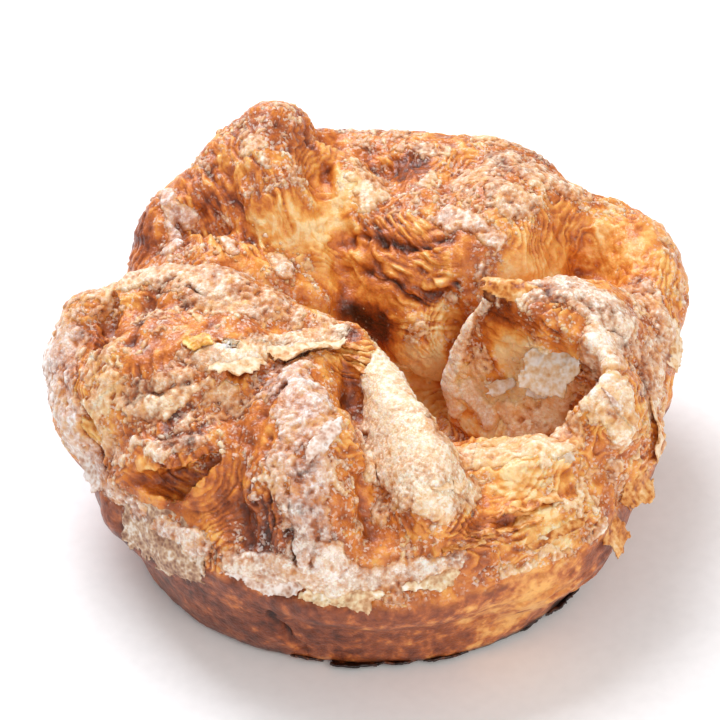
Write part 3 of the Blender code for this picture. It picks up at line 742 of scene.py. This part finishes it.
# Burnt caramel that ran out under the foot: degrees round it, each piece's length and how far it reaches.
SKIRT = [
    (-104, 7.0, 2.0), (-93, 9.0, 2.6), (-82, 8.0, 2.2), (-70, 10.0, 2.8),
    (-60, 7.0, 2.4), (-49, 9.0, 3.0), (-38, 9.0, 4.0), (-28, 6.0, 2.4),
]
SKIRT_RADIUS = 33.6
SKIRT_THICKNESS = 0.35
SHEET_STEP = 0.22
SHEET_THICKNESS = 0.22
FLAKE_CLEARANCE = 0.40
FLAKE_RAGGEDNESS = 0.32


def torn_sheet(length, width, squareness, seed, ragged=0.15):
    """A flat sheet, a metre for each millimetre, with a torn outline."""
    bpy.ops.object.select_all(action="DESELECT")
    long_steps = max(4, int(length / SHEET_STEP))
    wide_steps = max(4, int(width / SHEET_STEP))
    bpy.ops.mesh.primitive_grid_add(x_subdivisions=long_steps, y_subdivisions=wide_steps, size=1.0)
    sheet = bpy.context.object
    bpy.ops.transform.resize(value=(length, width, 1.0))
    bpy.ops.object.transform_apply(location=True, rotation=True, scale=True)
    flat = points_of(sheet.data) * MM
    x = np.abs(flat[:, 0]) / length * 2
    y = np.abs(flat[:, 1]) / width * 2
    reach = (x ** squareness + y ** squareness) ** (1 / squareness)
    turn = np.arctan2(flat[:, 1] / width, flat[:, 0] / length)
    around = np.stack([np.cos(turn), np.sin(turn), np.zeros(len(turn))], axis=1)
    torn = 0.84 + ragged * noise(around, 0.7, seed)
    torn = torn + 0.14 * noise(flat, 1.6, seed + 1) + 0.09 * noise(flat, 0.6, seed + 2)
    delete_points(sheet, reach > torn)
    return sheet


def finish_sheet(sheet, name, thickness=SHEET_THICKNESS):
    """Gives the sheet its thickness and records a little browning along it."""
    sheet.name = name
    apply_modifier(sheet, "SMOOTH", factor=0.5, iterations=2)
    apply_modifier(sheet, "SOLIDIFY", thickness=thickness * MM, offset=0.0, use_even_offset=False)
    sheet.data.shade_smooth()
    points = points_of(sheet.data)
    write_attribute(sheet.data, "bake", np.clip(0.35 + 0.35 * noise(points, 2.0, 31), 0, 1))


def directions(along, facing):
    """Unit vectors along the sheet, across it and out of its face."""
    long = np.array(along, float) / np.linalg.norm(along)
    out = np.array(facing, float) - np.dot(facing, long) * long
    out /= np.linalg.norm(out)
    return long, np.cross(out, long), out


def nearest_places(surface, points):
    """The nearest place on the surface to each point, and which way the surface faces there."""
    found = [surface.find_nearest(Vector(point * MM)) for point in points]
    return np.array([place for place, _, _, _ in found]) / MM, np.array([way for _, way, _, _ in found])


def make_flake(surface, name, seed, middle, along, facing, length, width, curl, bow):
    """One stiff flake, curled along and bowed across, moved until it rests on the surface."""
    sheet = torn_sheet(length, width, 2.2, seed, FLAKE_RAGGEDNESS)
    flat = points_of(sheet.data) * MM
    rise = curl * (flat[:, 0] / length * 2) ** 2 + bow * (flat[:, 1] / width * 2) ** 2
    rise += 0.30 * noise(flat, 2.2, seed + 4) + 0.10 * noise(flat, 0.8, seed + 5)
    long, side, out = directions(along, facing)
    points = np.array(middle) + flat[:, :1] * long + flat[:, 1:2] * side + rise[:, None] * out
    places, ways = nearest_places(surface, points)
    height = ((points - places) * ways).sum(axis=1)
    points += out * (FLAKE_CLEARANCE - np.percentile(height, 25))
    move_points(sheet.data, points)
    finish_sheet(sheet, name)
    return sheet


def make_drape(surface, name, seed, middle, along, facing, length, width, upper, lower):
    """A sheet laid over the surface, whose two long edges stand off it by these distances."""
    sheet = torn_sheet(length, width, 2.8, seed)
    flat = points_of(sheet.data) * MM
    long, side, out = directions(along, facing)
    places, ways = nearest_places(surface, np.array(middle) + flat[:, :1] * long + flat[:, 1:2] * side)
    ways = 0.5 * ways + 0.5 * out
    ways /= np.linalg.norm(ways, axis=1)[:, None]
    down = np.clip(0.5 - flat[:, 1] / width, 0, 1)
    rise = upper + (lower - upper) * down ** 1.5
    rise += 0.18 * noise(flat, 2.4, seed + 4) + 0.22 * (0.3 - np.abs(noise(flat, 1.1, seed + 5)))
    points = places + ways * rise[:, None]
    points[:, 2] = np.maximum(points[:, 2], 0.5 * SHEET_THICKNESS)
    move_points(sheet.data, points)
    finish_sheet(sheet, name)
    return sheet


def make_skirt():
    """The thin burnt caramel that stands out round the front right of the foot, in one piece."""
    parts = []
    for number, (degrees, length, reach) in enumerate(SKIRT):
        part = torn_sheet(length, reach, 2.6, 900 + 10 * number)
        flat = points_of(part.data) * MM
        turn = math.radians(degrees)
        out = np.array((math.cos(turn), math.sin(turn), 0.0))
        along = np.array((-out[1], out[0], 0.0))
        # The strip follows the foot's round edge and its outer lip curls up.
        radius = SKIRT_RADIUS + reach / 2 - flat[:, 0] ** 2 / (2 * SKIRT_RADIUS) + flat[:, 1]
        radius += 0.3 * noise(flat, 1.5, 950 + number)
        lip = np.clip(flat[:, 1] / reach + 0.5, 0, 1) ** 2
        points = np.array((*FOOT_CENTRE, SKIRT_THICKNESS)) + radius[:, None] * out + flat[:, :1] * along
        points[:, 2] += 0.8 * lip + np.abs(0.35 * noise(flat, 1.3, 960 + number))
        move_points(part.data, points)
        finish_sheet(part, "burnt_skirt", SKIRT_THICKNESS)
        parts.append(part)
    bpy.ops.object.select_all(action="DESELECT")
    for part in parts:
        part.select_set(True)
    bpy.context.view_layer.objects.active = parts[0]
    bpy.ops.object.join()
    return parts[0]


def make_sheets(dough):
    """Every flake and sheet, with the finish of each."""
    surface = BVHTree.FromObject(dough, bpy.context.evaluated_depsgraph_get())
    made = []
    for seed, (name, (*shape, finish)) in enumerate(FLAKES.items()):
        made.append((make_flake(surface, name, 300 + 10 * seed, *shape), finish))
    for seed, (name, (*shape, finish)) in enumerate(DRAPES.items()):
        made.append((make_drape(surface, name, 600 + 10 * seed, *shape), finish))
    made.append((make_skirt(), "burnt"))
    return made


# ---------------------------------------------------------------- materials

def linear(hex_colour):
    """An sRGB hex colour as linear red, green, blue and 1."""
    parts = [int(hex_colour[i:i + 2], 16) / 255 for i in (1, 3, 5)]
    return tuple(c / 12.92 if c <= 0.04045 else ((c + 0.055) / 1.055) ** 2.4 for c in parts) + (1.0,)


def add_node(tree, kind, inputs=None, output=0, ramp=(), **settings):
    """Adds a node with its settings, the colours of its ramp, and its inputs, each of them a value or the
    socket that feeds it. Gives back one of its outputs."""
    node = tree.nodes.new("ShaderNode" + kind)
    for name, value in settings.items():
        setattr(node, name, value)
    for key, value in (inputs or {}).items():
        if isinstance(value, bpy.types.NodeSocket):
            tree.links.new(value, node.inputs[key])
        else:
            node.inputs[key].default_value = value
    if ramp:
        elements = node.color_ramp.elements
        elements.remove(elements[-1])
        elements[0].position = ramp[0][0]
        elements[0].color = linear(ramp[0][1])
        for place, colour in ramp[1:]:
            elements.new(place).color = linear(colour)
    return node.outputs[output] if node.outputs else None


def start_material(name):
    """A material, the function that adds a node to it, and the place on the piece that patterns follow."""
    material = bpy.data.materials.new(name)
    material.use_nodes = True
    material.node_tree.nodes.clear()
    node = partial(add_node, material.node_tree)
    return material, node, node("TexCoord", output="Object")


def finish_material(material, node, surface):
    """Closes the material with its surface: a shader with these inputs."""
    node("OutputMaterial", {"Surface": node("BsdfPrincipled", surface)})
    return material


def add_up(node, start, *shares):
    """A number or pattern with other patterns added to it, each times its share."""
    for pattern, share in shares:
        start = node("Math", {0: pattern, 1: share, 2: start}, operation="MULTIPLY_ADD")
    return start


def sugar_colour(node, tone, frost_and_sheen):
    """The colour of sugar of this tone: cream, or grey white where it is frosted, which is partly a painted
    cool reflection and sparkle.
    """
    cream = node("ValToRGB", {0: tone}, ramp=CREAM_SUGAR)
    white = node("ValToRGB", {0: tone}, ramp=FROSTED_AND_SHEEN_SUGAR)
    return node("Mix", {0: frost_and_sheen, 6: cream, 7: white}, 2, data_type="RGBA")


DOUGH_COLOURS = [
    (0.0, "#f7d79f"), (0.16, "#f3b968"), (0.32, "#e69843"), (0.46, "#d1772c"),
    (0.62, "#b0591f"), (0.80, "#793512"), (1.0, "#42200f"),
]
FOOT_COLOURS = [
    (0.08, "#f2b568"), (0.26, "#de954f"), (0.40, "#bf6a35"),
    (0.54, "#9a502c"), (0.72, "#793a21"), (1.0, "#38170c"),
]
SPOT_COLOURS = [(0.2, "#d98a3a"), (0.42, "#a5541c"), (0.6, "#6e2f0e")]
BURNT_CARAMEL = "#2a140d"
CARAMEL = [
    (0.10, "#efc283"), (0.30, "#e0a15a"), (0.50, "#c97a3a"),
    (0.70, "#a25526"), (0.88, "#6f3517"), (1.0, "#4a200f"),
]
CREAM_SUGAR = [(0.0, "#dca568"), (0.40, "#efc590"), (0.75, "#f9e1bd"), (1.0, "#fff5e6")]
# Grey-lavender to white sugar: frosted sugar, and partly a painted cool reflection with white sparkle.
FROSTED_AND_SHEEN_SUGAR = [(0.0, "#ac8272"), (0.40, "#ceada0"), (0.75, "#eadad2"), (1.0, "#fff9f6")]


def bare_dough():
    """Laminated butter dough, baked to amber and chestnut, glazed by its own butter and dusted with sugar."""
    material, node, place = start_material("baked laminated butter dough")
    bake, sugar, frost_and_sheen, foot, burnt, layered, across = (
        node("Attribute", output="Fac", attribute_name=name)
        for name in ("bake", "sugar", "frost_and_sheen", "foot", "burnt", "layered", "across")
    )
    # Browning in blotches 3 mm and 0.9 mm across on top, 1.7 mm and 5 mm on the foot; pores 0.45 mm across.
    blotch, speck, foot_blotch, foot_cloud, pore = (
        node("TexNoise", {"Vector": place, "Scale": 1 / (size * MM), "Detail": 3.0})
        for size in (3.0, 0.9, 1.7, 5.0, 0.45)
    )
    # Leaf edges 0.7 mm apart, running along the layers and wavering every 4.5 mm.
    waver = node("VectorMath", {0: place, 1: (0.22 / MM,) * 3}, operation="MULTIPLY")
    x, y, z = (node("SeparateXYZ", {0: waver}, axis) for axis in "XYZ")
    woven = node("CombineXYZ", {
        0: node("Math", {0: across, 1: 1 / 0.7}, operation="MULTIPLY"),
        1: node("Math", {0: x, 1: z}, operation="ADD"),
        2: y,
    })
    leaf = node("TexNoise", {"Vector": woven, "Scale": 1.0, "Detail": 3.0})
    leaf = node("Math", {0: leaf, 1: 0.5}, operation="SUBTRACT")
    leaf = node("Math", {0: leaf, 1: layered}, operation="MULTIPLY")
    leaf = node("Math", {0: leaf, 1: add_up(node, 1.0, (foot, -0.7))}, operation="MULTIPLY")
    browning = add_up(node, -0.50, (bake, 1.0), (blotch, 0.55), (speck, 0.45), (leaf, 1.0))
    dough = node("ValToRGB", {0: browning}, ramp=DOUGH_COLOURS)
    wall = add_up(node, -0.75, (browning, 1.0), (foot_blotch, 0.9), (foot_cloud, 0.7))
    wall = node("ValToRGB", {0: wall}, ramp=FOOT_COLOURS)
    # Thin orange spots up to 1.5 mm long, where butter boiled against the mould.
    boiled = node("TexNoise", {"Vector": place, "Scale": 1 / (1.5 * MM), "Detail": 5.0})
    boiled = node("MapRange", {"Value": boiled, "From Min": 0.56, "From Max": 0.63, "To Max": 0.75})
    spots = node("ValToRGB", {0: bake}, ramp=SPOT_COLOURS)
    wall = node("Mix", {0: boiled, 6: wall, 7: spots}, 2, data_type="RGBA")
    colour = node("Mix", {0: foot, 6: dough, 7: wall}, 2, data_type="RGBA")
    # Grains under 0.4 mm across lie scattered where the crust has broken away, thicker towards its edge.
    grain, middle = (node("TexVoronoi", {"Vector": place, "Scale": 1 / (0.36 * MM)}, part)
                     for part in ("Color", "Distance"))
    grain = node("SeparateColor", {0: grain})
    dusted = add_up(node, sugar, (speck, 0.9), (grain, 0.7))
    dusted = node("MapRange", {"Value": dusted, "From Min": 1.16, "From Max": 1.46, "To Max": 0.50})
    above = node("Math", {0: 1.0, 1: foot}, operation="SUBTRACT")
    dusted = node("Math", {0: dusted, 1: above}, operation="MULTIPLY")
    colour = node("Mix", {0: dusted, 6: colour, 7: sugar_colour(node, grain, frost_and_sheen)}, 2, data_type="RGBA")
    colour = node("Mix", {0: burnt, 6: colour, 7: linear(BURNT_CARAMEL)}, 2, data_type="RGBA")
    raised = node("Math", {0: 0.6, 1: middle}, operation="SUBTRACT")
    relief = add_up(node, speck, (leaf, -2.4), (raised, dusted), (pore, 0.6))
    return finish_material(material, node, {
        "Base Color": colour, "Roughness": add_up(node, 0.15, (speck, 0.3), (dusted, 0.2), (foot, 0.1)),
        "Normal": node("Bump", {"Height": relief, "Strength": 0.65, "Distance": 0.28 * MM}),
        "IOR": 1.45, "Subsurface Weight": 0.30, "Subsurface Radius": (1.0, 0.55, 0.28),
        "Subsurface Scale": 1.2 * MM, "Coat Weight": 0.08, "Coat Roughness": 0.15,
    })


def sugar_crust():
    """Sugar that has melted and set again: cream and white grains fused together, amber where it is thin."""
    material, node, place = start_material("baked granular sugar crust")
    bake, sugar, raised, frost_and_sheen = (
        node("Attribute", output="Fac", attribute_name=name) for name in ("bake", "sugar", "raised", "frost_and_sheen")
    )
    # Clouds 4.5 mm across, clumps 1.7 mm and specks 0.6 mm, in grains 0.3 mm across, each of its own tone.
    cloud, clump, speck = (
        node("TexNoise", {"Vector": place, "Scale": 1 / (size * MM), "Detail": detail})
        for size, detail in ((4.5, 3.0), (1.7, 3.0), (0.6, 2.0))
    )
    grain, middle = (node("TexVoronoi", {"Vector": place, "Scale": 1 / (0.30 * MM)}, part)
                     for part in ("Color", "Distance"))
    grain = node("SeparateColor", {0: grain})
    browning = add_up(node, -0.86, (bake, 1.0), (cloud, 1.0), (clump, 0.7), (grain, 0.14))
    caramel = node("ValToRGB", {0: browning}, ramp=CARAMEL)
    tone = add_up(node, -0.61, (grain, 0.30), (speck, 0.55), (sugar, 0.30), (clump, 0.5), (raised, 0.5))
    # Whiter where the crust is thick and raised; the amber shows through in the pits and where it has melted,
    # and the pits are also painted darker as shade.
    cover = add_up(node, sugar, (cloud, -1.8), (clump, 1.8), (speck, 1.1), (grain, 0.35), (raised, 1.0))
    cover = node("MapRange", {"Value": cover, "From Min": 1.45, "From Max": 2.75, "To Max": 0.95})
    colour = node("Mix", {0: cover, 6: caramel, 7: sugar_colour(node, tone, frost_and_sheen)}, 2, data_type="RGBA")
    relief = add_up(node, 0.0, (speck, 0.9), (middle, -0.9))
    return finish_material(material, node, {
        "Base Color": colour, "Roughness": add_up(node, 0.25, (grain, 0.35)),
        "Normal": node("Bump", {"Height": relief, "Strength": 0.5, "Distance": 0.20 * MM}),
        "IOR": 1.5, "Subsurface Weight": 0.50, "Subsurface Radius": (1.0, 0.70, 0.42),
        "Subsurface Scale": 0.9 * MM,
    })


def sugar_crystal(name, melted):
    """Baked sugar grains: cloudy crystals that have taken the colour of the caramel beneath them."""
    material, node, _ = start_material(name)
    tint = node("Attribute", output="Fac", attribute_name="tint")
    bake = node("Attribute", output="Fac", attribute_name="bake")
    clean = node("ValToRGB", {0: tint}, ramp=CREAM_SUGAR)
    under = node("ValToRGB", {0: bake}, ramp=DOUGH_COLOURS)
    share = add_up(node, melted, (tint, 0.3))
    return finish_material(material, node, {
        "Base Color": node("Mix", {0: share, 6: clean, 7: under}, 2, data_type="RGBA"),
        "Roughness": 0.28, "IOR": 1.5, "Specular IOR Level": 0.6, "Transmission Weight": 0.15,
    })


SHEET_FINISHES = {
    # finish: (material, colours from browned to clear, share of light passed through, roughness, bubbles)
    "clear": ("clear melted sugar flake", [(0.26, "#e6b67e"), (0.46, "#f2d7b4"), (0.66, "#fdf6ec")],
              0.35, 0.22, 0.25),
    "pale": ("pale sugared pastry flake", [(0.28, "#cd8e52"), (0.46, "#eabf8c"), (0.66, "#fae3c4")],
             0.0, 0.45, 0.25),
    "amber": ("amber pastry flake", [(0.28, "#98480f"), (0.45, "#cf7e30"), (0.62, "#e8ae68"),
        (0.8, "#f6d2a2")],
              0.0, 0.35, 0.20),
    "golden": ("golden melted sugar crust", [(0.30, "#d18a2c"), (0.50, "#ecb24c"), (0.70, "#f8d48a")],
               0.0, 0.35, 0.30),
    "straw": ("straw yellow sugar crust",
              [(0.26, "#c08a5c"), (0.44, "#dfb488"), (0.60, "#efd6aa"), (0.78, "#fdf4e6")], 0.0, 0.35, 0.35),
    # The lace's grey-brown colours are partly painted shade on the sheet hanging at the lower left.
    "lace": ("bubbled sugar lace with painted shade",
             [(0.26, "#8d6046"), (0.44, "#b28567"), (0.62, "#d2ad89"), (0.80, "#f0e1d1")], 0.05, 0.30, 0.45),
    "frosted": ("frosted sugar sheet", [(0.28, "#c09078"), (0.48, "#e2c3ae"), (0.70, "#f9eee6")],
                0.0, 0.45, 0.40),
    "toasted": ("toasted pastry tip",
                [(0.28, "#3c1b0e"), (0.46, "#74391a"), (0.62, "#a96a36"), (0.80, "#d9a468")], 0.0, 0.30, 0.15),
    "burnt": ("burnt caramel edge", [(0.38, "#170a07"), (0.60, "#38190e"), (0.80, "#7a3c1a")],
              0.0, 0.15, 0.10),
}


def sheet_finish(finish):
    """A thin baked sheet: pastry or melted sugar, mottled 1.2 mm across and bubbled like the sugar on it."""
    name, colours, clear, roughness, bubbly = SHEET_FINISHES[finish]
    material, node, place = start_material(name)
    mottle = node("TexNoise", {"Vector": place, "Scale": 1 / (1.2 * MM), "Detail": 4.0})
    bake = node("Attribute", output="Fac", attribute_name="bake")
    # Sugar bubbles 0.6 mm across, paler along the walls between them.
    bubble = node("TexVoronoi", {"Vector": place, "Scale": 1 / (0.6 * MM)}, "Distance")
    bubble = node("Math", {0: bubble, 1: 0.45}, operation="SUBTRACT")
    bubble = node("Math", {0: bubble, 1: bubbly}, operation="MULTIPLY")
    paleness = add_up(node, 0.02, (mottle, 1.2), (bake, -0.35), (bubble, 1.0))
    relief = add_up(node, mottle, (bubble, 1.5))
    return finish_material(material, node, {
        "Base Color": node("ValToRGB", {0: paleness}, ramp=colours),
        "Normal": node("Bump", {"Height": relief, "Strength": 0.7, "Distance": 0.30 * MM}),
        "Roughness": roughness, "IOR": 1.47, "Transmission Weight": clear,
    })


def pale_floor():
    """Matt white card: an even ground with the faintest grain, 2 mm across."""
    material, node, place = start_material("matt white card")
    fleck = node("TexNoise", {"Vector": place, "Scale": 1 / (2.0 * MM), "Detail": 2.0})
    colour = node("ValToRGB", {0: fleck}, ramp=[(0.3, "#f7f6f5"), (0.7, "#fbfaf9")])
    return finish_material(material, node, {"Base Color": colour, "Roughness": 0.8})


# ---------------------------------------------------------------- studio

# Metres: what the camera points at and how far away it stands.
CAMERA_AIM = (0.0006, -0.004, 0.01975)
CAMERA_DISTANCE = 0.5
CAMERA_RISE = math.radians(42)


def add_area_light(name, place, size, power, colour):
    light = bpy.data.lights.new(name, "AREA")
    light.size = size
    light.energy = power
    light.color = linear(colour)[:3]
    lamp = bpy.data.objects.new(name, light)
    bpy.context.collection.objects.link(lamp)
    lamp.location = place
    lamp.rotation_euler = (Vector((0, 0, 0.02)) - Vector(place)).to_track_quat("-Z", "Y").to_euler()


def build_studio():
    bpy.ops.mesh.primitive_plane_add(size=3.0, location=(0, 0, -0.0002))
    floor = bpy.context.object
    floor.name = "floor"
    bpy.ops.object.transform_apply(location=True, rotation=True, scale=True)
    floor.data.materials.append(pale_floor())
    add_area_light("window", (-0.24, 0.47, 0.65), 0.5, 7.0, "#f6f8ff")
    add_area_light("front_fill", (0.38, -0.65, 0.5), 0.8, 3.8, "#fffaf2")
    world = bpy.data.worlds.new("soft white room")
    bpy.context.scene.world = world
    world.use_nodes = True
    background = world.node_tree.nodes["Background"]
    background.inputs["Color"].default_value = linear("#fbfbff")
    background.inputs["Strength"].default_value = 0.56
    camera = bpy.data.cameras.new("camera")
    stand = bpy.data.objects.new("camera", camera)
    bpy.context.collection.objects.link(stand)
    bpy.context.scene.camera = stand
    camera.sensor_width = 36.0
    camera.lens = 171.05
    camera.shift_x = -0.0208
    camera.shift_y = 0.0556
    camera.clip_start = 0.01
    back = Vector((0, -math.cos(CAMERA_RISE), math.sin(CAMERA_RISE)))
    stand.location = Vector(CAMERA_AIM) + back * CAMERA_DISTANCE
    stand.rotation_euler = (-back).to_track_quat("-Z", "Y").to_euler()
    bpy.context.scene.view_settings.view_transform = "Standard"


def main():
    dough = start_dough()
    shape_dough(dough)
    crusts = lift_crusts(dough)
    thin_dough(dough)
    dough.data.materials.append(bare_dough())
    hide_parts("pastry")
    crust_finish = sugar_crust()
    for crust in crusts:
        crust.data.materials.append(crust_finish)
    pieces = [dough] + crusts
    finishes = {
        "fine_sugar": sugar_crystal("fine caster sugar, half melted", 0.35),
        "coarse_sugar": sugar_crystal("coarse sugar crystals", 0.0),
    }
    for seed, name in enumerate(GRAINS, 200):
        grains = scatter_grains(name, dough, seed)
        grains.data.materials.append(finishes[name])
        pieces.append(grains)
    sheets = {finish: sheet_finish(finish) for finish in SHEET_FINISHES}
    for sheet, finish in make_sheets(dough):
        sheet.data.materials.append(sheets[finish])
        pieces.append(sheet)
    for piece in pieces:
        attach(piece, "root")
    build_studio()


main()
